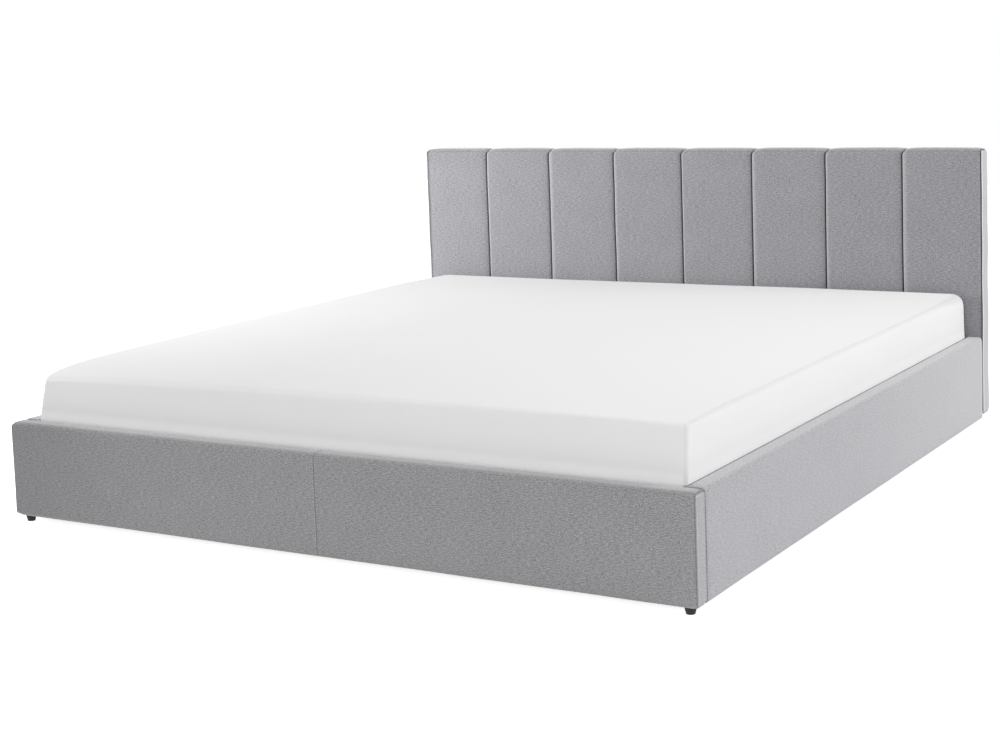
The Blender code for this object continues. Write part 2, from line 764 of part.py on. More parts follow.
def add_gas_spring(side, label):
    """The closed cylinder and its rod; each ends in an eye."""
    top = cylinder_start + cylinder_length
    bore = rod_radius + pin_clearance
    bore_end = cylinder_start + cylinder_bore_floor
    neck = eye_radius / 2
    profile = ((0.0, bore_end), (bore, bore_end), (bore, top), (cylinder_radius - cylinder_nose, top),
               (cylinder_radius, top - cylinder_nose), (cylinder_radius, cylinder_start + cylinder_nose),
               (cylinder_radius - cylinder_nose, cylinder_start), (neck_radius, cylinder_start),
               (neck_radius, neck), (0.0, neck))
    cylinder = turned("gas_spring_cylinder_" + label, profile, painted_steel)
    lay_along_spring(cylinder, side, spring_fixed)
    fuse(cylinder, eye_guide("cylinder_eye_" + label, side, spring_fixed))
    reach = eye_width / 2 + cut_overrun
    cut(cylinder, cylinders_x("cylinder_eye_hole_" + label, side, (
        (spring_fixed, spring_plane - reach, spring_plane + reach, eye_pin_radius + pin_clearance),)))

    rod_top = spring_length - neck
    rod_low = top - rod_hidden_length
    profile = ((0.0, rod_top), (rod_radius, rod_top), (rod_radius, rod_low), (0.0, rod_low))
    rod = turned("gas_spring_rod_" + label, profile, zinc_steel)
    lay_along_spring(rod, side, spring_fixed)
    fuse(rod, eye_guide("rod_eye_" + label, side, spring_moving))
    fuse(rod, cylinders_x("rod_pin_" + label, side, (
        (spring_moving, spring_plane, front_link_inner - seat_gap, eye_pin_head_radius),)))


# Put the bed together
add_footboard()
add_side_rail("side_rail_left", -1)
add_side_rail("side_rail_right", 1)
add_headboard_board()
add_headboard_pad()
for label, side in (("left", -1), ("right", 1)):
    foot_line = foot_end + footboard_thickness / 2
    add_foot("foot_front_" + label, side * (half_width - front_foot_inset), foot_line)
    add_foot("foot_rear_" + label, side * (half_width - rear_foot_inset), head_face - rear_foot_inset)
add_floor()

moving_base = []
for label, side in (("left", -1), ("right", 1)):
    add_corner_bracket("corner_bracket_foot_" + label, side, True)
    add_corner_bracket("corner_bracket_head_" + label, side, False)
    add_hinge_plate(side, label)
    add_rear_link(side, label)
    add_front_link(side, label)
    add_gas_spring(side, label)
    moving_base.append(add_lift_bracket(side, label))
moving_base += add_base_frame()
moving_base += add_slats()
moving_base.append(add_mattress_bar())
moving_base.append(add_pull_strap())
moving_base.append(add_mattress())

base_pivot = bpy.data.objects.new("base_pivot", None)
parts.objects.link(base_pivot)
base_pivot.location = (0.0, rear_moving.x, rear_moving.y)
for piece in moving_base:
    piece.parent = base_pivot
    piece.matrix_parent_inverse = Matrix.Translation(-base_pivot.location)

print(f"bed {2 * half_width:.3f} wide, {bed_length:.3f} long, head face y {head_face:.4f}")
for title, pivot in (("rear fixed", rear_fixed), ("rear moving", rear_moving), ("front fixed", front_fixed),
                     ("front moving", front_moving), ("spring fixed", spring_fixed),
                     ("spring moving", spring_moving)):
    print(f"{title} pivot y {pivot.x:.5f} z {pivot.y:.5f}")
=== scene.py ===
# %% [markdown]
# Ottoman bed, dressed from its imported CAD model.
# A low upholstered bed has a panel headboard, two side rails and a footboard, covered in one grey weave,
# and a white mattress that sinks between them. The mattress lies on a steel frame with sprung slats, which gas
# springs lift at its foot end to open a storage box. This notebook loads the CAD model as a fixed frame, takes
# its sizes from it, and adds what CAD leaves out: cloth, seams, foam, wood grain, paint and fittings.

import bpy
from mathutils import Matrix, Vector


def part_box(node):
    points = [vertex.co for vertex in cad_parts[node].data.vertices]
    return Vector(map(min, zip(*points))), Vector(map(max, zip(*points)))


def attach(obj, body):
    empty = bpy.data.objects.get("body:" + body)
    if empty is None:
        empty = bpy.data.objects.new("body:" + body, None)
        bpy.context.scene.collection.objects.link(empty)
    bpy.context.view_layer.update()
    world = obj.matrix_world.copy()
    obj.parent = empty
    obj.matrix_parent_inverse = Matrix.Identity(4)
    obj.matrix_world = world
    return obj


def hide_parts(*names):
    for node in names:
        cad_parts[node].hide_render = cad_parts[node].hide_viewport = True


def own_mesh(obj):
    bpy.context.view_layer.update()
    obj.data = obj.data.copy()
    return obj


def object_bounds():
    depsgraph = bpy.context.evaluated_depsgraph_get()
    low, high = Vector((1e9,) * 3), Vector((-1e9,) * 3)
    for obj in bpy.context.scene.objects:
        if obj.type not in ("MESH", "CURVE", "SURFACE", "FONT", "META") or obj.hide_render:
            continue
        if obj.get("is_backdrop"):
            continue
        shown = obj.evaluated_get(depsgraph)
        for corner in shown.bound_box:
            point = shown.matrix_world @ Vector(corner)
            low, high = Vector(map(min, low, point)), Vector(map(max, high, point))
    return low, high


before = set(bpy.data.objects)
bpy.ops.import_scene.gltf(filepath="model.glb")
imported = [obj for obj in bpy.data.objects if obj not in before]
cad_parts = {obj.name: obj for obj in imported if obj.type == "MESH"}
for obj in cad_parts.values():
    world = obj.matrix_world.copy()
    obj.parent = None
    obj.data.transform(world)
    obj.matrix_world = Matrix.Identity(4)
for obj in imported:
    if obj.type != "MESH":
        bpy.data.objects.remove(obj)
cad_box = [list(corner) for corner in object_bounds()]
print("CAD box:", [[round(value, 3) for value in corner] for corner in cad_box])

# %% Tools for shapes
import math

import bmesh
import bpy
from mathutils import Matrix, Vector, noise

mm = 0.001  # the unit of every small size, in metres
static_body = "bed_frame"
moving_body = "lifting_base"
left_and_right = (("left", -1), ("right", 1))

scene = bpy.context.scene
dressing = bpy.data.collections.new("dressing")
scene.collection.children.link(dressing)


def corners(node):
    """The lowest and the highest corner of a CAD node, as vectors."""
    low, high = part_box(node)
    return Vector(low), Vector(high)


footboard_low, footboard_high = corners("footboard")
rail_high = corners("side_rail_right")[1]
board_low, board_high = corners("headboard_board")
pad_low = corners("headboard_pad")[0]
mattress_low, mattress_high = corners("mattress")
print("headboard top:", round(board_high.z, 3), "rail top:", round(rail_high.z, 3))

# %% [markdown]
# The camera stands at the bed's front right corner, a little above the headboard, and looks slightly down.
# Its place, turn, focal length and lens shift come from fitting the bed's edges and seams to the photograph.
# A shifted lens keeps the verticals nearly parallel, and the small roll is in the photograph too.

# %% Camera
camera_place = Vector((2.5555, -4.5198, 1.2189))
camera_yaw = math.radians(32.06)
camera_pitch = math.radians(6.19)
camera_roll = math.radians(-2.20)
photo_width_pixels = 1000
focal_pixels = 1871
lens_shift = (0.0530, -0.1354)

level_forward = Vector((-math.sin(camera_yaw), math.cos(camera_yaw), 0)) * math.cos(camera_pitch)
forward = level_forward - Vector((0, 0, math.sin(camera_pitch)))
level_right = forward.cross(Vector((0, 0, 1))).normalized()
level_up = level_right.cross(forward)
right = level_right * math.cos(camera_roll) + level_up * math.sin(camera_roll)
up = level_up * math.cos(camera_roll) - level_right * math.sin(camera_roll)

camera = bpy.data.objects.new("camera", bpy.data.cameras.new("camera"))
camera.data.sensor_width = 36
camera.data.lens = camera.data.sensor_width * focal_pixels / photo_width_pixels
turn = Matrix((right, up, -forward)).transposed().to_4x4()
camera.matrix_world = Matrix.Translation(camera_place) @ turn
scene.collection.objects.link(camera)
camera.data.shift_x, camera.data.shift_y = lens_shift
scene.camera = camera
scene.view_settings.view_transform = "Standard"
print("lens:", round(camera.data.lens, 1), "mm")

# %% [markdown]
# Shader maths reads best as sums. A small class holds a node's output and turns each Python operator into a
# Math node, so that 1 - mask works as it reads. Another class holds a node tree: it makes any node from its
# type, its settings and its inputs. Colours go through Mix nodes, because a Math node would turn them grey.

# %% Shader values and finishes
def operator(operation, swapped=False):
    """A method that adds a Math node for this value and others, in either order."""
    def method(self, *others):
        values = (*others, self) if swapped else (self, *others)
        return self.nodes.node("Math", {"operation": operation}, *values)
    return method


class Value:
    """A number that changes over a surface: the output of a node, for use in Python sums."""

    def __init__(self, nodes, socket):
        self.nodes = nodes
        self.socket = socket

    def math(self, operation, *others):
        return self.nodes.node("Math", {"operation": operation}, self, *others)

    __add__ = __radd__ = operator("ADD")
    __mul__ = __rmul__ = operator("MULTIPLY")
    __sub__, __rsub__ = operator("SUBTRACT"), operator("SUBTRACT", swapped=True)
    __truediv__, __rtruediv__ = operator("DIVIDE"), operator("DIVIDE", swapped=True)
    __abs__, __gt__ = operator("ABSOLUTE"), operator("GREATER_THAN")


class Nodes:
    """A node tree, and the one way to add a node to it."""

    def __init__(self, tree):
        self.tree = tree

    def feed(self, socket, value):
        """Links a value to a socket, or writes a plain number or colour on it."""
        if isinstance(value, Value):
            self.tree.links.new(value.socket, socket)
        elif isinstance(value, tuple) and len(value) == 3 and socket.type == "RGBA":
            socket.default_value = (*value, 1.0)
        else:
            socket.default_value = value

    def node(self, kind, settings, *inputs, output=0, **named):
        """Any shader node: its settings first, then its inputs in order, then its inputs by name."""
        made = self.tree.nodes.new("ShaderNode" + kind)
        for key, value in settings.items():
            setattr(made, key, value)
        for socket, value in zip(made.inputs, inputs):
            self.feed(socket, value)
        for key, value in named.items():
            self.feed(self.input_named(made, key.replace("_", " ")), value)
        return Value(self, made.outputs[output])

    @staticmethod
    def input_named(made, name):
        """The enabled input of that name: a Mix node has one for each data type."""
        return next(socket for socket in made.inputs if socket.name == name and socket.enabled)

    def seen_plainly(self):
        """1 for the rays that show a thing, straight, mirrored or through glass, and 0 for those that light."""
        camera, mirrored, clear = [self.node("LightPath", {}, output=ray) for ray in
                                   ("Is Camera Ray", "Is Glossy Ray", "Is Transmission Ray")]
        return camera.math("MAXIMUM", mirrored.math("MAXIMUM", clear))


class Finish(Nodes):
    """A material, with its main shader and the places that its nodes share."""

    def __init__(self, name):
        self.material = bpy.data.materials.new(name)
        self.material.use_nodes = True
        super().__init__(self.material.node_tree)
        self.shader = self.tree.nodes["Principled BSDF"]
        self.places = None

    def mix(self, factor, first, second):
        """A colour between two colours, which is a Mix node's third output."""
        return self.node("Mix", {"data_type": "RGBA"}, output=2, Factor=factor, A=first, B=second)

    def place(self):
        """The point on the object, in metres, as three values."""
        if self.places is None:
            self.places = self.split(self.node("TexCoord", {}, output="Object"))
        return self.places

    def split(self, vector):
        made = self.tree.nodes.new("ShaderNodeSeparateXYZ")
        self.feed(made.inputs[0], vector)
        return [Value(self, socket) for socket in made.outputs]

    def join(self, x, y, z=0.0):
        return self.node("CombineXYZ", {}, x, y, z)

    def point(self):
        """The same as one vector."""
        return self.join(*self.place())

    def facing(self):
        """How much the surface faces along X, Y and Z, from 0 to 1."""
        return [abs(part) for part in self.split(self.node("NewGeometry", {}, output="Normal"))]

    def clouds(self, vector, scale, detail=2.0, roughness=0.5):
        """Soft noise from 0 to 1."""
        return self.node("TexNoise", {}, Vector=vector, Scale=scale, Detail=detail, Roughness=roughness)

    def shape(self, value, low, high):
        """Stretches a value so that low becomes 0 and high becomes 1, and stops there."""
        return self.node("MapRange", {"clamp": True}, value, low, high, 0.0, 1.0)

    def bump(self, height, distance, strength=1.0):
        raised = self.node("Bump", {}, Height=height, Distance=distance, Strength=strength)
        self.feed(self.shader.inputs["Normal"], raised)

    def set(self, **sockets):
        """Writes or links sockets of the main shader; spaces in their names are underscores."""
        for key, value in sockets.items():
            self.feed(self.shader.inputs[key.replace("_", " ")], value)
        return self.material


def grey(level):
    return (level, level, level)


print("shader tools are ready")

# %% [markdown]
# The cover is a melange weave: light and dark grey fibres in one yarn give short horizontal slubs, paler
# flecks and a slightly uneven ground. Noise that is stretched along the yarn works on any face, where a flat
# picture would distort. The yarn's direction follows from where the face looks. Painted light makes the rails'
# copy of the cloth paler, and the top faces a little paler. Each point of a soft box also carries a number of
# painted light: below 0 it paints shade into the cloth, as falls in a seam's groove, and above 0 it paints a
# highlight on the raised edge beside a seam, or light onto a face.

# %% Grey weave
yarn_pitch = 1.3 * mm
slub_size = (12 * mm, 2.0 * mm)
grain_size = (4.2 * mm, 2.2 * mm)
fleck_size = (3.0 * mm, 2.0 * mm)
ground_scale = 9.0
facing_limit = 0.7
painted_top_light = 0.06
weave_height = 0.5 * mm
fleck_yarn_and_top_light = (0.70, 0.70, 0.71)
painted_shade_colour = (0.035, 0.035, 0.038)
painted_highlight_colour = (0.80, 0.80, 0.82)


def grey_weave(name, dark, pale, tones, along_y=False, coarse=1.0):
    """The cover's cloth. The yarn runs along X, or along Y on the side rails."""
    cloth = Finish(name)
    x, y, z = cloth.place()
    faces_x, _, faces_z = cloth.facing()
    on_side = faces_x > facing_limit
    on_top = faces_z > facing_limit
    if along_y:
        across = y
        upwards = z + on_top * (x - z)
    else:
        across = x + on_side * (y - x)
        upwards = z + on_top * (y - z)

    def spots(size, detail, roughness):
        return cloth.clouds(cloth.join(across / size[0], upwards / size[1]), 1.0 / coarse, detail, roughness)

    slubs, grain, flecks = spots(slub_size, 1.0, 0.5), spots(grain_size, 2.0, 0.75), spots(fleck_size, 1.0, 0.6)
    ground = cloth.clouds(cloth.join(across, upwards, z), ground_scale, 3.0, 0.55)
    tone = grain * 0.50 + slubs * 0.26 + flecks * 0.24 + (ground - 0.5) * 0.04
    colour = cloth.mix(cloth.shape(tone, *tones), dark, pale)
    colour = cloth.mix(cloth.shape(flecks, 0.66, 0.82) * 0.30, colour, fleck_yarn_and_top_light)
    # Painted light: top faces are mixed a little towards the pale fleck colour, as more light falls on them.
    colour = cloth.mix(on_top * painted_top_light, colour, fleck_yarn_and_top_light)
    # Painted light and shade from each point's number: painted shade in seams' grooves, painted highlights
    # above 0.
    painted_mark = cloth.node("Attribute", {"attribute_name": "painted_light_marks"}, output="Fac")
    colour = cloth.mix(cloth.shape(painted_mark, 0.0, 1.0), colour, painted_highlight_colour)
    colour = cloth.mix(cloth.shape(painted_mark, 0.0, -1.0), colour, painted_shade_colour)
    weft = (upwards * (math.pi / yarn_pitch)).math("SINE")
    warps = (across * (math.pi / yarn_pitch)).math("SINE")
    cloth.bump(weft * warps * 0.25 + slubs * 0.2 + grain * 0.7, weave_height, 0.5)
    return cloth.set(Base_Color=colour, Roughness=0.92, Sheen_Weight=0.55, Sheen_Roughness=0.45,
                     Specular_IOR_Level=0.2)


weave_across = grey_weave("grey_weave_across", (0.127, 0.127, 0.131), (0.437, 0.437, 0.450), (0.36, 0.64))
# Painted light: the rails' cloth is a paler copy of the weave, as the rails catch more light from the side.
weave_painted_paler_along = grey_weave("grey_weave_along", (0.160, 0.159, 0.168), (0.570, 0.565, 0.603), (0.33, 0.67),
                         along_y=True, coarse=1.15)
weave_head = grey_weave("grey_weave_head", (0.121, 0.120, 0.128), (0.420, 0.417, 0.441), (0.35, 0.65),
                        coarse=1.05)
print("made", ", ".join(weave.name for weave in (weave_across, weave_painted_paler_along, weave_head)))

# %% [markdown]
# A soft panel is a board wrapped in foam and cloth. It starts as a box of grid lines, whose corners are pulled
# in to an ellipse: long edges are round, and the sewn ends are tighter. Extra lines lie close together at each
# seam, and every point then moves along its own outward direction: in at a seam, out where the foam swells.

# %% Soft box
def edge_lines(low, high, radius, steps=5):
    """Grid places in both rounded ends of an axis, close enough for a smooth curve."""
    shares = [1.0 - math.tan(math.pi / 4 * step / steps) for step in range(steps + 1)]
    return [low + radius * share for share in shares] + [high - radius * share for share in shares]


def near_seam(place, width):
    """Grid places that let a narrow groove at this place show."""
    return [place + width * share for share in (-3.4, -2.2, -1.4, -0.8, -0.35, 0.0, 0.35, 0.8, 1.4, 2.2, 3.4)]


def axis_lines(low, high, radius, step, extra=()):
    """Sorted grid places from low to high: even ones, then those that edges and seams need."""
    least = 0.25 * mm
    wanted = edge_lines(low, high, radius) + [place for place in extra if low < place < high]
    count = max(1, round((high - low - 2 * radius) / step))
    even = [low + radius + (high - low - 2 * radius) * index / count for index in range(1, count)]
    kept = []
    for place in sorted(wanted):
        if not kept or place - kept[-1] > least:
            kept.append(place)
    for place in even:
        if min(abs(place - other) for other in kept) > step / 3:
            kept.append(place)
    return sorted(kept)


def grid(low, high, radii, steps, extra=((), (), ())):
    """The grid places of a soft box along X, Y and Z."""
    return [axis_lines(low[axis], high[axis], radii[axis], steps[axis], extra[axis]) for axis in range(3)]


def soft_box(name, low, high, radii, lines, relief, painted_light_marks=None):
    """A closed box of grid lines; edge radii, point shifts and each point's painted light and shade may vary.
    """
    counts = [len(axis) for axis in lines]
    bm = bmesh.new()
    made = {}
    marks = []

    def vertex(index):
        if index not in made:
            flat = Vector([lines[axis][index[axis]] for axis in range(3)])
            reach = radii(flat) if callable(radii) else radii
            inner = Vector([min(max(flat[a], low[a] + reach[a]), high[a] - reach[a]) for a in range(3)])
            out = Vector([(flat[a] - inner[a]) / reach[a] for a in range(3)])
            out.normalize()
            round_place = inner + Vector([out[a] * reach[a] for a in range(3)])
            normal = Vector([out[a] / reach[a] for a in range(3)]).normalized()
            made[index] = bm.verts.new(relief(flat, round_place, normal))
            marks.append(painted_light_marks(flat, normal) if painted_light_marks else 0.0)
        return made[index]

    for axis in range(3):
        first, second = (axis + 1) % 3, (axis + 2) % 3
        for end in (0, counts[axis] - 1):
            for i in range(counts[first] - 1):
                for j in range(counts[second] - 1):
                    ring = []
                    for di, dj in ((0, 0), (1, 0), (1, 1), (0, 1)):
                        index = [0, 0, 0]
                        index[axis], index[first], index[second] = end, i + di, j + dj
                        ring.append(vertex(tuple(index)))
                    bm.faces.new(ring if end else ring[::-1])
    mesh = bpy.data.meshes.new(name)
    bm.to_mesh(mesh)
    bm.free()
    mesh.shade_smooth()
    mesh.attributes.new("painted_light_marks", "FLOAT", "POINT").data.foreach_set("value", marks)
    piece = bpy.data.objects.new(name, mesh)
    dressing.objects.link(piece)
    return piece


def dress(piece, material, body, slot, *nodes):
    """Gives a piece its finish and its body, and hides the CAD nodes that it stands for. Its slot is not used.
    """
    piece.data.materials.clear()
    piece.data.materials.append(material)
    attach(piece, body)
    if nodes:
        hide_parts(*nodes)
    return piece


def soft_cover(name, low, high, radii, lines, relief, painted_light_marks, finish, body, slot, *nodes):
    """A soft box that is dressed at once and stands for CAD nodes."""
    piece = soft_box(name, low, high, radii, lines, relief, painted_light_marks)
    dress(piece, finish, body, slot, *nodes)
    print(name + ":", len(piece.data.polygons), "faces")
    return piece


def round_outline(place, middle, half, axes, radius, end=1):
    """Bends a square outline corner into a round one, at one end of the second axis."""
    first, second = axes
    across = abs(place[first] - middle[first]) - (half[first] - radius)
    along = end * (place[second] - middle[second]) - (half[second] - radius)
    if across > 0 and along > 0:
        squeeze = max(across, along) / math.hypot(across, along)
        reach = half[first] - radius + across * squeeze
        place[first] = middle[first] + math.copysign(reach, place[first] - middle[first])
        place[second] = middle[second] + end * (half[second] - radius + along * squeeze)


def groove(distance, width):
    """How deep a sewn seam pulls in, from 1 on the seam to 0 a few widths away."""
    return math.exp(-(distance / width) ** 2)


def shaded(distance, *marks):
    """Painted light or shade at a distance. Each mark has a shade, and an offset and a width in millimetres."""
    return sum(shade * groove(distance - offset * mm, width * mm) for shade, offset, width in marks)


def held(value, low, high):
    """Where a value lies between low and high, held between 0 and 1."""
    return min(1.0, max(0.0, (value - low) / (high - low)))


def eased(value, low=0.0, high=1.0):
    """The same with a soft start and a soft end."""
    share = held(value, low, high)
    return share * share * (3 - 2 * share)


def unevenness(place, size, seed=0.0):
    """Slow, seeded noise from about -1 to 1, for cloth that is never quite flat."""
    return noise.noise(Vector(place) / size + Vector((seed, seed * 0.7, -seed)))


print("soft boxes are ready")

# %% [markdown]
# Small hard pieces come from two builders: a block with bevelled edges, and a shape turned about an axis. A
# turned ring may be six-sided, which gives a bolt its hexagonal socket, and a profile may close on itself to
# leave a bore.

# %% Hard pieces
def add_block(bm, low, high, edge):
    """Adds a box with bevelled edges between two corners."""
    low, high = Vector(low), Vector(high)
    stand = Matrix.Translation((low + high) / 2) @ Matrix.Diagonal((*(high - low), 1.0))
    verts = bmesh.ops.create_cube(bm, size=1.0, matrix=stand)["verts"]
    edges = list({near for vert in verts for near in vert.link_edges})
    bmesh.ops.bevel(bm, geom=edges, offset=edge, segments=2, profile=0.5, affect="EDGES")


def add_turned(bm, profile, stand, steps=24, bored=False):
    """Adds a turned shape. Each row of the profile is a radius, a height and the number of sides it shows."""
    rings = []
    for radius, height, *sides in profile:
        ring = []
        for step in range(steps):
            angle = 2 * math.pi * step / steps
            reach = radius
            if sides:
                corner = 2 * math.pi / sides[0]
                reach = radius * math.cos(corner / 2) / math.cos(angle % corner - corner / 2)
            spot = Vector((reach * math.cos(angle), reach * math.sin(angle), height))
            ring.append(bm.verts.new(stand @ spot))
        rings.append(ring)
    if bored:
        rings.append(rings[0])
    for lower, upper in zip(rings, rings[1:]):
        for step in range(steps):
            after = (step + 1) % steps
            bm.faces.new((lower[step], lower[after], upper[after], upper[step]))
    if not bored:
        bm.faces.new(rings[0][::-1])
        bm.faces.new(rings[-1])


def standing(place, direction):
    """The matrix that puts a turned shape at a place, with its axis along a direction."""
    return Matrix.Translation(place) @ Vector(direction).to_track_quat("Z", "Y").to_matrix().to_4x4()


def scaled(rows, radius, height):
    """A turned profile at its real size; the number of sides stays."""
    return [(row[0] * radius, row[1] * height, *row[2:]) for row in rows]


def finished(name, bm, smooth_angle=35):
    """Turns a mesh under construction into an object, shaded smooth except at its creases."""
    bmesh.ops.recalc_face_normals(bm, faces=bm.faces[:])
    mesh = bpy.data.meshes.new(name)
    bm.to_mesh(mesh)
    bm.free()
    mesh.shade_smooth()
    mesh.set_sharp_from_angle(angle=math.radians(smooth_angle))
    piece = bpy.data.objects.new(name, mesh)
    dressing.objects.link(piece)
    return piece


print("hard pieces are ready")

# %% [markdown]
# The headboard is one padded box. Its front cover is sewn in eight upright channels, and each seam runs on over
# the top edge, so the top outline is a row of low humps. The foam swells between the seams, and the cloth
# puckers a little beside them. The sides are separate strips with a seam along their front and top edges.
# A fine grid keeps the seams crisp, where a remeshed cloth simulation would lose them.

# %% Headboard cover
channel_count = 8
seam_width = 1.5 * mm
seam_pull, seam_pull_reach = 9.0 * mm, 1.5 * seam_width
seam_wander, seam_wander_length = 1.1 * mm, 0.16
lip_height, lip_offset, lip_width = 2.0 * mm, 3.9 * mm, 1.3 * seam_width
channel_crown = 4.0 * mm
pucker_depth, pucker_length, pucker_reach = 0.7 * mm, 26 * mm, 14 * mm
foam_depth, foam_length = 0.8 * mm, 0.13
shoulder_height, shoulder_shift, shoulder_reach = 26 * mm, 8 * mm, 30 * mm
crease_inset, crease_depth, crease_width = 8.0 * mm, 0.9 * mm, 2.4 * seam_width
crease_wander, crease_wander_length = 1.5 * mm, 0.05
edge_seam_inset, edge_seam_width = 2.2 * mm, 0.8 * mm
strip_seam_inset, strip_seam_width, strip_seam_pull = 4.5 * mm, 0.8 * seam_width, 1.7 * mm
strip_sway, strip_sway_length = 1.3 * mm, 0.12
back_sway, back_sway_length = 2.2 * mm, 0.10
back_from, back_blend = 0.85, 0.5
# Painted light: the side strips are paler, as light from the side falls on them.
painted_strip_light = 0.35
side_line = 0.1 * mm

head_low, head_high = Vector((board_low.x, pad_low.y, board_low.z)), board_high
head_middle, head_half = (head_low + head_high) / 2, (head_high - head_low) / 2
channel_width = (head_high.x - head_low.x) / channel_count
top_corner_radius = 15 * mm
channel_seams = [head_low.x + channel_width * index for index in range(1, channel_count)]
headboard_radii = Vector((6.0, 19.0, 19.0)) * mm


def headboard_relief(flat, place, normal):
    """Channels on the front and top, strip seams on the sides, and a nearly flat back."""
    place = place.copy()
    front_share = held(back_from - normal.y, 0.0, back_blend) * (1.0 - abs(normal.x))
    nearest = min(channel_seams, key=lambda seam: abs(seam - flat.x))
    distance = abs(flat.x - nearest)
    from_middle = abs((flat.x - head_low.x) / channel_width % 1.0 * 2 - 1)
    wander = seam_wander * unevenness((nearest * 9, 0, flat.z), seam_wander_length)
    shoulder = held(flat.z, head_high.z - shoulder_height, head_high.z)
    place.x += (wander + shoulder_shift * shoulder ** 2) * groove(distance, shoulder_reach)
    inwards = channel_crown * from_middle ** 5 + seam_pull * math.exp(-distance / seam_pull_reach)
    inwards -= lip_height * groove(flat.x - nearest - lip_offset, lip_width)
    pucker = unevenness((nearest * 7, 0, flat.z), pucker_length, 3.0)
    pucker += 0.5 * unevenness(flat, pucker_length, 8.0)
    inwards += pucker_depth * pucker * math.exp(-distance / pucker_reach)
    inwards += foam_depth * unevenness(flat, foam_length, 5.0)
    crease = flat.z - head_high.z + crease_inset
    crease += crease_wander * unevenness((flat.x, 0, 0), crease_wander_length, 9.0)
    inwards += crease_depth * groove(crease, crease_width)
    place -= normal * inwards * front_share
    if abs(normal.x) > 0.3:
        strip = min(abs(flat.y - head_low.y - strip_seam_inset), abs(head_high.z - strip_seam_inset - flat.z))
        place -= normal * strip_seam_pull * groove(strip, strip_seam_width)
        place += normal * strip_sway * unevenness((0, 0, flat.z), strip_sway_length, 2.0)
        back_share = (flat.y - head_low.y) / (head_high.y - head_low.y)
        place.y += back_sway * unevenness((0, 0, flat.z), back_sway_length, 6.0) * back_share
    round_outline(place, head_middle, head_half, (0, 2), top_corner_radius)
    return place


def headboard_painted_light(flat, normal):
    """Painted shade in each seam, a painted highlight on the raised edge to its right and on the side strips.
    """
    if normal.y > 0.8:
        return 0.0
    edge = head_half.x - abs(flat.x - head_middle.x)
    if edge < side_line:
        top = shaded(head_high.z - strip_seam_inset - flat.z, (0.45, 2.8, 1.5), (-1.1, 0.0, 1.3))
        return painted_strip_light + shaded(flat.y - head_low.y, (0.55, 6.0, 4.0)) + top
    offset = min((flat.x - seam for seam in channel_seams), key=abs)
    mark = shaded(offset - lip_offset, (0.50, 0.0, 1.3)) + shaded(offset, (-1.7, 0.0, 1.9))
    # Painted shade also runs along the front's side edges and the crease below the top.
    mark += shaded(edge - edge_seam_inset, (-1.3, 0.0, 2.0))
    return mark + shaded(flat.z - head_high.z + crease_inset, (-0.16, 0.0, 2.0))


channel_lines = [place for seam in channel_seams for place in near_seam(seam, seam_width)]
for edge in (head_low.x + edge_seam_inset, head_high.x - edge_seam_inset):
    channel_lines += near_seam(edge, edge_seam_width)
strip_lines = near_seam(head_low.y + strip_seam_inset, strip_seam_width)
top_lines = near_seam(head_high.z - strip_seam_inset, strip_seam_width)
top_lines += near_seam(head_high.z - crease_inset, seam_width)
headboard_grid = grid(head_low, head_high, headboard_radii, (0.010, 0.012, 0.009),
                      (channel_lines, strip_lines, top_lines))
headboard_cover = soft_cover(
    "headboard_cover", head_low, head_high, headboard_radii, headboard_grid, headboard_relief,
    headboard_painted_light, weave_head, static_body, "grey_weave", "headboard_pad", "headboard_board")

# %% [markdown]
# The footboard's cover is sewn from two lengths, so a seam runs up the middle of its front and over its top.
# Its ends are separate strips, like the headboard's. The long edges are soft, because foam wraps the board.

# %% Footboard cover
panel_radii = Vector((1.5, 13.0, 16.0)) * mm
panel_corner_radius = 11 * mm
panel_waviness, panel_wave_length = 0.9 * mm, 0.17
footboard_middle, footboard_half = (footboard_low + footboard_high) / 2, (footboard_high - footboard_low) / 2
middle_seam_pull, end_seam_pull = 1.6 * mm, 1.5 * mm
end_seam_height = 4 * mm
end_seam_back = 3 * mm
# Painted light and shade on the footboard: paler end strips and bottom, painted shade towards the left end.
painted_end_light = 0.14
front_edge_inset = 1.4 * mm
left_shade, left_shade_width = 0.20, 0.25
painted_low_light = 0.03


def footboard_relief(flat, place, normal):
    """A seam up the middle, slightly wavy faces and a seam round each end strip."""
    place = place.copy()
    if normal.z > -0.5:
        place -= normal * middle_seam_pull * groove(flat.x, strip_seam_width) * (1 - abs(normal.x))
    place += normal * panel_waviness * unevenness(flat, panel_wave_length, 11.0)
    if abs(normal.x) > 0.3:
        strip = min(abs(flat.y - footboard_low.y - strip_seam_inset),
                    abs(footboard_high.z - end_seam_height - flat.z),
                    abs(footboard_high.y - end_seam_back - flat.y))
        place -= normal * end_seam_pull * groove(strip, strip_seam_width)
    for end in (-1, 1):
        round_outline(place, footboard_middle, footboard_half, (0, 2), panel_corner_radius, end)
    return place


def footboard_painted_light(flat, normal):
    """Painted light and shade: the seams' lines, paler end strips and bottom, and a darker left end."""
    edge = footboard_half.x - abs(flat.x - footboard_middle.x)
    if edge < side_line:
        front, top = flat.y - footboard_low.y - strip_seam_inset, footboard_high.z - end_seam_height - flat.z
        mark = painted_end_light + shaded(footboard_high.y - end_seam_back - flat.y, (0.35, 0.0, 1.5))
        return mark + sum(shaded(strip, (0.35, 2.4, 1.4), (-0.75, 0.0, 0.9)) for strip in (front, top))
    if normal.z < -0.5:
        return 0.0
    mark = shaded(flat.x, (0.12, -2.4, 1.4), (-0.5, 0.0, 1.1))
    mark -= left_shade * groove(flat.x - footboard_low.x, left_shade_width)
    mark += painted_low_light * (footboard_high.z - flat.z) / (footboard_high.z - footboard_low.z)
    return mark + shaded(edge - front_edge_inset, (-0.45, 0.0, 1.3))


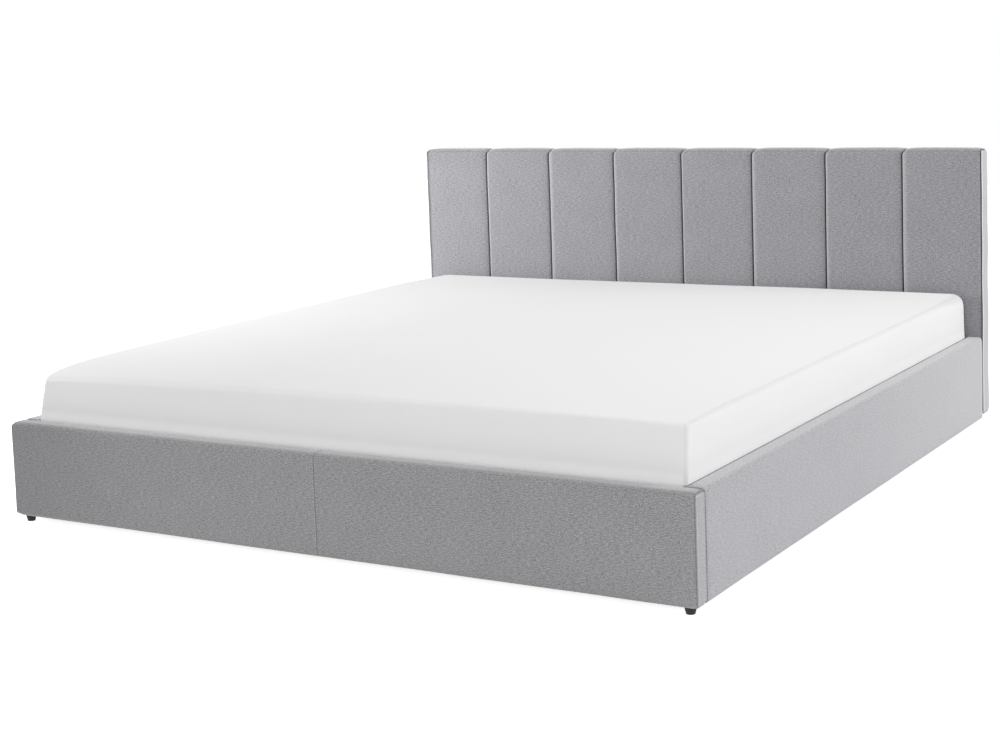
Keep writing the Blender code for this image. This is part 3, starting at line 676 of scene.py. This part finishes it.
end_seams = near_seam(footboard_low.y + strip_seam_inset, strip_seam_width)
end_seams += near_seam(footboard_high.y - end_seam_back, strip_seam_width)
length_lines = near_seam(0.0, seam_width)
for edge in (footboard_low.x + front_edge_inset, footboard_high.x - front_edge_inset):
    length_lines += near_seam(edge, edge_seam_width)
height_lines = near_seam(footboard_high.z - end_seam_height, strip_seam_width)
footboard_grid = grid(footboard_low, footboard_high, panel_radii, (0.014, 0.012, 0.010),
                      (length_lines, end_seams, height_lines))
footboard_cover = soft_cover(
    "footboard_cover", footboard_low, footboard_high, panel_radii, footboard_grid, footboard_relief,
    footboard_painted_light, weave_across, static_body, "grey_weave", "footboard")

# %% [markdown]
# The parts that CAD already shapes well keep their meshes and only get better finishes: powder coat, zinc,
# chrome, birch, softwood, hardboard, moulded plastic and webbing. Each finish is a short function. All of them
# use places in metres, so their detail has a real size.

# %% Hard finishes
def powder_coat():
    """Black paint with a fine orange peel, a little dust, and rubbed spots that shine more."""
    paint = Finish("powder_coat")
    point = paint.point()
    peel = paint.clouds(point, 700.0)
    dust = paint.clouds(point, 18.0, 5.0, 0.65)
    rubbed = paint.shape(paint.clouds(point, 45.0, 3.0, 0.6), 0.60, 0.72)
    colour = paint.mix(paint.shape(dust, 0.35, 0.75), (0.022, 0.022, 0.024), (0.050, 0.050, 0.052))
    paint.bump(peel, 0.12 * mm, 0.6)
    return paint.set(Base_Color=colour, Roughness=0.48 - rubbed * 0.14 + dust * 0.08, Specular_IOR_Level=0.5)


def zinc():
    """Zinc plate: faint crystals, brushing along the metal and duller stains."""
    metal = Finish("zinc_plate")
    x, y, z = metal.place()
    point = metal.point()
    crystals = metal.node("TexVoronoi", {"feature": "F1"}, Vector=point, Scale=260.0, output=0)
    brushing = metal.clouds(metal.join(x * 40.0, y * 40.0, z * 900.0), 1.0)
    stains = metal.clouds(point, 30.0, 4.0, 0.6)
    colour = metal.mix(crystals * 0.5 + stains * 0.5, (0.46, 0.47, 0.49), (0.70, 0.70, 0.69))
    metal.bump(brushing, 0.05 * mm, 0.5)
    return metal.set(Base_Color=colour, Metallic=1.0, Roughness=0.26 + stains * 0.22 + crystals * 0.08)


def polished_rod():
    """The hard chrome of a gas spring's rod, with fine rings left by grinding."""
    chrome = Finish("chrome_rod")
    x, y, z = chrome.place()
    rings = chrome.clouds(chrome.join(x * 20.0, y * 2500.0, z * 20.0), 1.0, 1.0, 0.5)
    smears = chrome.clouds(chrome.point(), 60.0, 3.0, 0.6)
    chrome.bump(rings, 0.01 * mm, 0.4)
    return chrome.set(Base_Color=(0.78, 0.78, 0.79), Metallic=1.0, Roughness=0.07 + smears * 0.12)


def slat_birch(low, high, bow):
    """Birch plywood for bowed slats: long grain on the faces, plies that follow the bow on the edges."""
    wood = Finish("birch_slats")
    x, y, z = wood.place()
    _, _, faces_z = wood.facing()
    middle = (low.x + high.x) / 2
    share = (abs(x) - middle) / ((high.x - low.x) / 2)
    level = z - low.z + share * share * bow
    fibres = wood.clouds(wood.join(x * 9.0, y * 420.0, level * 420.0), 1.0, 3.0, 0.6)
    figure = wood.clouds(wood.join(x * 2.2, y * 34.0, level * 10.0), 1.0, 3.0, 0.5)
    plies = (level * (math.pi / (1.15 * mm))).math("SINE")
    face = wood.mix(figure * 0.6 + fibres * 0.4, (0.50, 0.335, 0.185), (0.74, 0.565, 0.36))
    edge = wood.shape(plies, -0.3, 0.3) * 0.75 + fibres * 0.25
    edge = wood.mix(edge, (0.33, 0.205, 0.105), (0.70, 0.52, 0.32))
    colour = wood.mix(faces_z > 0.6, edge, face)
    wood.bump(fibres + figure * 0.3, 0.10 * mm, 0.5)
    return wood.set(Base_Color=colour, Roughness=0.46 + fibres * 0.16, Coat_Weight=0.12)


def beam_pine():
    """Planed softwood with its grain along Y: growth rings, fibres and a few darker streaks."""
    wood = Finish("pine_beam")
    x, y, z = wood.place()
    sway = wood.clouds(wood.join(x * 6.0, y * 1.2, z * 6.0), 1.0)
    rings = ((x * 150.0 + z * 90.0 + sway * 9.0).math("SINE") + 1.0) * 0.5
    fibres = wood.clouds(wood.join(x * 500.0, y * 12.0, z * 500.0), 1.0, 2.0, 0.6)
    colour = wood.mix(rings * 0.55 + fibres * 0.45, (0.46, 0.29, 0.145), (0.72, 0.54, 0.33))
    wood.bump(fibres + rings * 0.4, 0.12 * mm, 0.5)
    return wood.set(Base_Color=colour, Roughness=0.62 + fibres * 0.15)


def fibre_board():
    """Hardboard: brown-grey pressed fibres with scattered dark ones and a slightly waxy surface."""
    board = Finish("fibre_board")
    point = board.point()
    fibres = board.clouds(point, 420.0, 5.0, 0.7)
    patches = board.clouds(point, 12.0, 3.0, 0.5)
    specks = board.shape(board.clouds(point, 900.0), 0.66, 0.74)
    colour = board.mix(fibres * 0.7 + patches * 0.3, (0.215, 0.195, 0.175), (0.375, 0.350, 0.320))
    colour = board.mix(specks * 0.6, colour, (0.12, 0.10, 0.085))
    board.bump(fibres, 0.15 * mm, 0.4)
    return board.set(Base_Color=colour, Roughness=0.66 + patches * 0.12)


def moulded_plastic():
    """Black plastic with a fine spark-eroded grain and a faint grey bloom."""
    plastic = Finish("moulded_plastic")
    point = plastic.point()
    grain = plastic.clouds(point, 1400.0)
    bloom = plastic.clouds(point, 60.0, 3.0, 0.6)
    colour = plastic.mix(bloom, (0.008, 0.008, 0.009), (0.020, 0.020, 0.022))
    plastic.bump(grain, 0.06 * mm, 0.6)
    return plastic.set(Base_Color=colour, Roughness=0.50 + bloom * 0.16, Specular_IOR_Level=0.35)


def ribbed_webbing():
    """Woven tape: ribs across it, a finer twill between them, and worn, slightly greyer high points."""
    tape = Finish("ribbed_webbing")
    x, y, z = tape.place()
    ribs = ((y + z) * (math.pi / (1.1 * mm))).math("SINE")
    twill = ((x + z * 0.5) * (math.pi / (0.8 * mm))).math("SINE")
    fuzz = tape.clouds(tape.point(), 1200.0, 2.0, 0.6)
    height = abs(ribs) * 0.6 + abs(twill) * 0.3 + fuzz * 0.2
    colour = tape.mix(tape.shape(height, 0.2, 1.0), (0.010, 0.010, 0.011), (0.050, 0.050, 0.053))
    tape.bump(height, 0.30 * mm, 0.8)
    return tape.set(Base_Color=colour, Roughness=0.82 + fuzz * 0.1, Sheen_Weight=0.2)


def repaint(material, *starts):
    """Puts a finish in every material slot of the CAD nodes whose names start so. They keep their shape."""
    nodes = [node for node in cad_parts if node.startswith(starts)]
    for node in nodes:
        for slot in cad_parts[node].material_slots:
            slot.material = material
    print(material.name, "on", len(nodes), "nodes")


slat_nodes = sorted(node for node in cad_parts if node.startswith("slat_"))
slat_low, slat_high = corners("slat_right_01")
slat_thickness = 8 * mm
slat_bow = slat_high.z - slat_low.z - slat_thickness

plate, plastic, pine = zinc(), moulded_plastic(), beam_pine()
repaint(powder_coat(), "frame_tube_", "corner_bracket_", "lift_bracket_", "mattress_bar", "hinge_plate_",
        "gas_spring_cylinder_")
repaint(plate, "rear_link_", "front_link_")
repaint(polished_rod(), "gas_spring_rod_")
repaint(slat_birch(slat_low, slat_high, slat_bow), "slat_")
repaint(pine, "floor_beam")
repaint(fibre_board(), "floor_panel_")
repaint(plastic, "foot_")
repaint(ribbed_webbing(), "pull_strap")

# %% [markdown]
# Each side rail is a long soft board between footboard and headboard. A wooden ledge is screwed along its
# inner foot to carry the storage floor. The CAD node holds both, so two pieces replace it.

# %% Side rail covers and ledges
seat_gap = 0.3 * mm
rail_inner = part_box("hinge_plate_right")[1][0] + seat_gap
rail_radii = Vector((11.0, 2.0, 12.0)) * mm
rail_wave_length, top_wave_share = 0.19, 0.3
painted_head_light, painted_head_light_from = 0.36, 0.45
ledge_width, ledge_tuck, ledge_edge = 20 * mm, 0.5 * mm, 1.2 * mm
ledge_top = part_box("floor_panel_left")[0][2] - seat_gap
ledge_end = pad_low.y - seat_gap
screw_count = 7
screw_head = ((3.8, -0.6), (3.8, 0.1), (3.4, 0.35), (1.7, 0.35), (1.5, 0.35, 6), (1.5, 0.05, 6))


def side_rail(label, side):
    """A rail's cover. Painted light: paler towards the head, a highlight at its end, a paler inner top edge."""
    node = "side_rail_" + label
    low, high = corners(node)
    near, far = sorted((side * rail_inner, side * footboard_high.x))
    soft_low, soft_high = Vector((near, low.y, low.z)), Vector((far, high.y, high.z))

    def relief(flat, place, normal):
        outer = max(0.0, side * normal.x, top_wave_share * normal.z)
        return place + normal * panel_waviness * outer * unevenness(flat, rail_wave_length, 17.0 + side)

    def painted_light_marks(flat, normal):
        # Painted light: paler towards the head, a painted highlight at the end and a paler inner top edge.
        mark = painted_head_light * max(0.0, (flat.y - low.y) / (high.y - low.y) - painted_head_light_from)
        mark += shaded(high.y - flat.y, (0.5, 6.0, 5.0))
        if flat.z > high.z - rail_radii.z:
            mark += shaded(abs(flat.x) - rail_inner, (0.35, 3.0, 5.0))
        return mark

    end_highlight_lines = [high.y - 6 * mm, high.y - 12 * mm]
    lines = grid(soft_low, soft_high, rail_radii, (0.012, 0.020, 0.012), ((), end_highlight_lines, ()))
    cover = soft_cover("side_rail_cover_" + label, soft_low, soft_high, rail_radii, lines, relief, painted_light_marks,
                       weave_painted_paler_along, static_body, "grey_weave", node)


def floor_ledge(label, side):
    """A softwood batten along the rail's foot, with the screws that hold it."""
    node = "side_rail_" + label
    low = corners(node)[0]
    ledge_inner = side * (rail_inner - ledge_width)
    near, far = sorted((side * (rail_inner + ledge_tuck), ledge_inner))
    bm = bmesh.new()
    add_block(bm, (near, low.y, low.z), (far, ledge_end, ledge_top), ledge_edge)
    batten = finished("floor_ledge_" + label, bm)
    dress(batten, pine, static_body, "birch", node)
    bm = bmesh.new()
    for index in range(screw_count):
        place = low.y + (ledge_end - low.y) * (index + 0.5) / screw_count
        stand = standing((ledge_inner, place, (low.z + ledge_top) / 2), (-side, 0, 0))
        add_turned(bm, scaled(screw_head, mm, mm), stand)
    dress(finished("ledge_screws_" + label, bm), plate, static_body, "zinc_steel")
    print(batten.name, "with", screw_count, "screws")


for label, side in left_and_right:
    side_rail(label, side)
    floor_ledge(label, side)

# %% [markdown]
# The mattress is a foam block in a white knitted cover. Above the frame its sides swell over the rails, and
# the whole top leans slightly to the right. The front top edge is round and droops at the left corner, the
# side edges are tighter, and the corners at the head are rounder still. When the base opens, the head end
# sinks between the rails.

# %% Mattress cover
edge_radii = Vector((12.0, 18.0, 18.0)) * mm
head_left_radii = Vector((58.0, 58.0, 24.0)) * mm
head_right_radii = Vector((34.0, 22.0, 36.0)) * mm
foot_right_radii = Vector((10.0, 8.0, 9.0)) * mm
head_edge_length, foot_edge_length = 0.30, 0.20
foot_right_from, foot_right_width = -0.1, 0.8
side_swells = {-1: 8.5 * mm, 1: 11.0 * mm}
side_fill = 4.3 * mm
front_swell, head_swell = 17.0 * mm, 5.0 * mm
side_slimming, front_slimming = 0.85, 0.82
top_lean = 7.0 * mm
side_fill_from, side_fill_full = 0.232, 0.250
side_swell_from, side_swell_full = 0.250, 0.2655
front_swell_from, front_swell_full = 0.02, 0.28
front_drop, front_drop_reach = 1 * mm, 0.06
corner_drops = ((-1, 22 * mm, 0.40, 0.07), (1, 3 * mm, 0.15, 0.08))
drop_from = 0.45
top_wave, top_wave_length, top_sink = 0.8 * mm, 0.30, 0.5
side_wave, side_wave_length, side_sink = 1.0 * mm, 0.16, 0.6
free_height = 30 * mm
band_seam_height, band_seam_pull = 18 * mm, 2.0 * mm
swell_step = 1.5 * mm
mattress_middle = (mattress_low + mattress_high) / 2
mattress_half = (mattress_high - mattress_low) / 2


def white_knit():
    """A fine pale jersey with clouds of tone; painted light low down and to the right, painted shade on edges.
    """
    knit = Finish("white_knit")
    x, _, z = knit.place()
    point = knit.point()
    grain = knit.clouds(point, 900.0, 2.0, 0.6)
    clouds = knit.clouds(point, 7.0)
    faces_x, faces_y, faces_z = knit.facing()
    colour = knit.mix(clouds * 0.5 + grain * 0.5, grey(0.76), grey(0.80))
    painted_light_low_down = knit.shape(z, mattress_middle.z, rail_high.z)
    painted_light_to_right = knit.shape(x, -0.3, 0.8) * faces_z
    painted_light_at_front_foot = knit.shape(z, 0.292, 0.270) * faces_y
    painted_edge_shade = knit.shape(faces_x * (faces_z + faces_y), 0.1, 0.5)
    # Painted light low down, on the top to the right and at the front's foot; painted shade on the rounded
    # edges.
    for share, level in ((painted_light_low_down, 0.86), (painted_light_to_right, 0.87), (painted_light_at_front_foot, 0.93), (painted_edge_shade, 0.72)):
        colour = knit.mix(share, colour, grey(level))
    knit.bump(grain + clouds * 0.6, 0.25 * mm, 0.35)
    return knit.set(Base_Color=colour, Roughness=0.9, Sheen_Weight=0.15, Sheen_Roughness=0.5,
                    Specular_IOR_Level=0.2)


def mattress_radii(flat):
    """The edges' radii: larger at the head, most at its left corner, and tighter at the foot's right half."""
    near_head = eased(flat.y, mattress_high.y - head_edge_length, mattress_high.y)
    near_foot = eased(1.0 - (flat.y - mattress_low.y) / foot_edge_length)
    near_foot *= eased((flat.x - foot_right_from) / foot_right_width)
    head = head_left_radii.lerp(head_right_radii, eased(flat.x, -0.5, 0.5))
    return edge_radii.lerp(head, near_head).lerp(foot_right_radii, near_foot)


def mattress_relief(flat, place, normal):
    """Swollen sides above the rails, a leaning top, a drooping front left corner and rounder head corners."""
    place = place.copy()
    height_share = (place.z - mattress_low.z) / (mattress_high.z - mattress_low.z)
    shares = [(place[axis] - mattress_middle[axis]) / mattress_half[axis] for axis in (0, 1)]
    at_side = [math.copysign(abs(share) ** 10, share) for share in shares]
    above = max(0.0, place.z - side_swell_full) / (mattress_high.z - side_swell_full)
    fill = side_fill * eased(place.z, side_fill_from, side_fill_full)
    swell = held(place.z, side_swell_from, side_swell_full) ** 3
    swell = fill + (side_swells[1 if place.x > 0 else -1] - side_fill) * swell
    place.x += swell * (1.0 - side_slimming * above) * at_side[0] + top_lean * above * abs(shares[0]) ** 2
    swell = eased(height_share, front_swell_from, front_swell_full) * (1.0 - front_slimming * above)
    place.y += front_swell * swell * min(0.0, at_side[1]) + head_swell * fill / side_fill * max(0.0, at_side[1])
    to_front = max(0.0, flat.y - mattress_low.y)
    drop = front_drop * math.exp(-to_front / front_drop_reach)
    for side, depth, along, back in corner_drops:
        from_corner = mattress_half.x - side * (flat.x - mattress_middle.x)
        drop += depth * math.exp(-from_corner / along - to_front / back)
    place.z -= drop * eased(height_share, drop_from, 1.0)
    if normal.z > 0:
        place.z += top_wave * (unevenness(flat, top_wave_length, 21.0) - top_sink) * normal.z
    if abs(normal.z) <= 0.3:
        free = eased((flat.z - rail_high.z) / free_height)
        place += normal * side_wave * free * (unevenness(flat, side_wave_length, 23.0) - side_sink)
        place -= normal * band_seam_pull * groove(flat.z - mattress_low.z - band_seam_height, seam_width)
    return place


edge_steps = [step * mm for step in (16, 20, 25, 31, 38, 47)]
head_lines = [mattress_high.y - step for step in edge_steps]
side_lines = [mattress_low.x + step for step in edge_steps] + [mattress_high.x - step for step in edge_steps]
swell_lines = [rail_high.z + step * swell_step for step in range(-10, 3)]
mattress_grid = grid(mattress_low, mattress_high, edge_radii, (0.022, 0.022, 0.007),
                     (side_lines, head_lines, swell_lines))
mattress_cover = soft_cover(
    "mattress_cover", mattress_low, mattress_high, mattress_radii, mattress_grid, mattress_relief, None,
    white_knit(), moving_body, "white_cover", "mattress")
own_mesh(mattress_cover)

# %% [markdown]
# Small fittings that CAD leaves out: plastic holders over the slats' ends, bolts in the brackets, a strip
# over the joint of the storage floor, the collar where each spring's rod comes out, and the stitching on the
# pull strap. Each rides one body. The bolts are one piece on the bed frame, so those of the two lift brackets
# stay behind when the base opens: bolts of their own, riding the base, would be right there.

# %% Small fittings
wall, play = 2.2 * mm, 0.2 * mm
cap_edge, cheek_edge = 0.6 * mm, 0.4 * mm
holder_reach = 20 * mm
holder_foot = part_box("frame_tube_left")[1][2] + play
holder_middle = slat_low.z + slat_thickness + play
holder_top = mattress_low.z - 2.8 * mm


def slat_holder(bm, low_x, high_x, low_y, high_y):
    """A cap over slat ends: a top plate and two cheeks that stand on the tube."""
    add_block(bm, (low_x, low_y - wall, holder_middle), (high_x, high_y + wall, holder_top), cap_edge)
    for near in (low_y - wall, high_y + play):
        add_block(bm, (low_x, near, holder_foot), (high_x, near + wall - play, holder_middle), cheek_edge)


for label, side in left_and_right:
    bm = bmesh.new()
    for node in slat_nodes:
        if node.startswith("slat_" + label):
            low, high = corners(node)
            end = high.x if side > 0 else low.x
            near, far = sorted((end - side * holder_reach, end + side * wall))
            slat_holder(bm, near, far, low.y, high.y)
            near, far = sorted((end + side * play, end + side * wall))
            add_block(bm, (near, low.y, holder_foot), (far, high.y, holder_middle), cheek_edge)
    dress(finished("slat_holders_" + label, bm), plastic, moving_body, "black_plastic")
bm = bmesh.new()
for node in slat_nodes:
    if node.startswith("slat_right"):
        low, high = corners(node)
        slat_holder(bm, -low.x - holder_reach, low.x + holder_reach, low.y, high.y)
dress(finished("slat_holders_middle", bm), plastic, moving_body, "black_plastic")

bolt_head = ((0.94, 0.0), (1.0, 0.12), (1.0, 0.75), (0.86, 1.0), (0.50, 1.0), (0.46, 0.98, 6), (0.44, 0.25, 6))
bolt_radius, bolt_height = 6.5 * mm, 2.6 * mm
bolt_heights = (0.30, 0.72)
bolt_shift = 6 * mm
bracket_sheet = 3 * mm
bm = bmesh.new()
for node in sorted(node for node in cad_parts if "bracket" in node):
    low, high = corners(node)
    middle = (low + high) / 2
    side, end = math.copysign(1, middle.x), math.copysign(1, middle.y)
    leg_x = (high.x if side > 0 else low.x) - side * bracket_sheet
    leg_y = (high.y if end > 0 else low.y) - end * bracket_sheet
    for share in bolt_heights:
        height = low.z + (high.z - low.z) * share
        for place, direction in (((leg_x, middle.y - end * bolt_shift, height), (-side, 0, 0)),
                                 ((middle.x - side * bolt_shift, leg_y, height), (0, -end, 0))):
            add_turned(bm, scaled(bolt_head, bolt_radius, bolt_height), standing(place, direction))
dress(finished("bracket_bolts", bm), plate, static_body, "zinc_steel")

panel_low, panel_high = corners("floor_panel_left")
strip_half, strip_thickness = 12 * mm, 1.2 * mm
strip_inset, strip_play = 2 * mm, 0.1 * mm
bm = bmesh.new()
add_block(bm, (-strip_half, panel_low.y + strip_inset, panel_high.z + strip_play),
          (strip_half, panel_high.y - strip_inset, panel_high.z + strip_thickness), cheek_edge)
dress(finished("floor_joint_strip", bm), plastic, static_body, "black_plastic")

spring_axis = Vector((0.0, -0.956386, 0.292106))
spring_eye = Vector((0.891, 0.5985, 0.055))
cylinder_reach = 0.2474
collar = ((5.5, 0.0), (7.6, 0.0), (7.6, 3.0), (6.6, 4.2), (5.5, 4.2))
for label, side in left_and_right:
    bm = bmesh.new()
    place = Vector((side * spring_eye.x, spring_eye.y, spring_eye.z)) + spring_axis * cylinder_reach
    add_turned(bm, scaled(collar, mm, mm), standing(place, spring_axis), 32, bored=True)
    dress(finished("spring_collar_" + label, bm), plastic, "spring_cylinder_" + label, "black_plastic")

strap_low, strap_high = corners("pull_strap")
thread, thread_rise, thread_edge = 0.5 * mm, 0.05 * mm, 0.15 * mm
stitch_inset, stitch_length, stitch_step = 4 * mm, 3.0 * mm, 4.2 * mm
stitch_count = 9
first_stitch = strap_high.z - 45 * mm
bm = bmesh.new()
for place_x in (strap_low.x + stitch_inset, strap_high.x - stitch_inset):
    for index in range(stitch_count):
        low_z = first_stitch + index * stitch_step
        add_block(bm, (place_x - thread, strap_low.y - thread, low_z),
                  (place_x + thread, strap_low.y - thread_rise, low_z + stitch_length), thread_edge)
dress(finished("strap_stitching", bm), weave_across, moving_body, "grey_weave")

# %% [markdown]
# A catalogue photograph has soft light from several sides and a white ground. The world gives an even fill,
# and large area lamps model the shapes: a key in front, one far to the right for the rail, a low one on the
# left that rakes over the headboard's channels, and a weak one above. The left one stands behind the
# footboard's front, so only the headboard gets lighter towards the left. Its narrower beam is turned to the
# headboard and doesn't wash out the left rail. The ground stays white to the camera, takes the bed's soft
# shadow and gives a little light back.

# %% Light and floor
def area_lamp(name, place, target, size, watts, spread=180):
    data = bpy.data.lights.new(name, "AREA")
    data.shape = "DISK"
    data.size = size
    data.spread = math.radians(spread)
    data.energy = watts
    lamp = bpy.data.objects.new(name, data)
    lamp.location = place
    lamp.rotation_euler = (Vector(target) - Vector(place)).to_track_quat("-Z", "Y").to_euler()
    scene.collection.objects.link(lamp)


area_lamp("front_lamp", (1.7, -6.0, 2.2), (0.1, -1.0, 0.3), 2.4, 85)
area_lamp("right_lamp", (7.4, 1.8, 2.1), (0.95, 0.0, 0.3), 2.8, 189)
area_lamp("left_lamp", (-3.0, -1.0, 1.15), (-0.9, 1.4, 0.65), 1.2, 49.6, spread=132)
area_lamp("top_lamp", (1.2, 0.1, 3.4), (0.5, 0.1, 0.3), 2.6, 28)

fill_strength = 0.50
world = bpy.data.worlds.new("studio")
world.use_nodes = True
scene.world = world
sky = Nodes(world.node_tree)
fill = sky.node("Background", {}, grey(1.0), fill_strength)
backdrop = sky.node("Background", {}, grey(1.0), 1.0)
shown = sky.node("MixShader", {}, sky.seen_plainly(), fill, backdrop)
sky.feed(sky.tree.nodes["World Output"].inputs["Surface"], shown)

floor_half = 9.0
floor_glow, floor_bounce = 0.78, 0.14
floor_mesh = bpy.data.meshes.new("studio_floor")
floor_corners = [(x * floor_half, y * floor_half, 0) for x, y in ((-1, -1), (1, -1), (1, 1), (-1, 1))]
floor_mesh.from_pydata(floor_corners, [], [(0, 1, 2, 3)])
floor = bpy.data.objects.new("studio_floor", floor_mesh)
scene.collection.objects.link(floor)
ground = Finish("studio_ground")
glow = ground.mix(ground.seen_plainly(), grey(floor_bounce), grey(floor_glow))
floor.data.materials.append(ground.set(
    Base_Color=grey(0.85), Roughness=0.9, Specular_IOR_Level=0.1, Emission_Strength=1.0, Emission_Color=glow))
floor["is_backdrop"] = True

# %% Sizes
visual_box = [list(corner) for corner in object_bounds()]
print("visual box:", [[round(value, 3) for value in corner] for corner in visual_box])
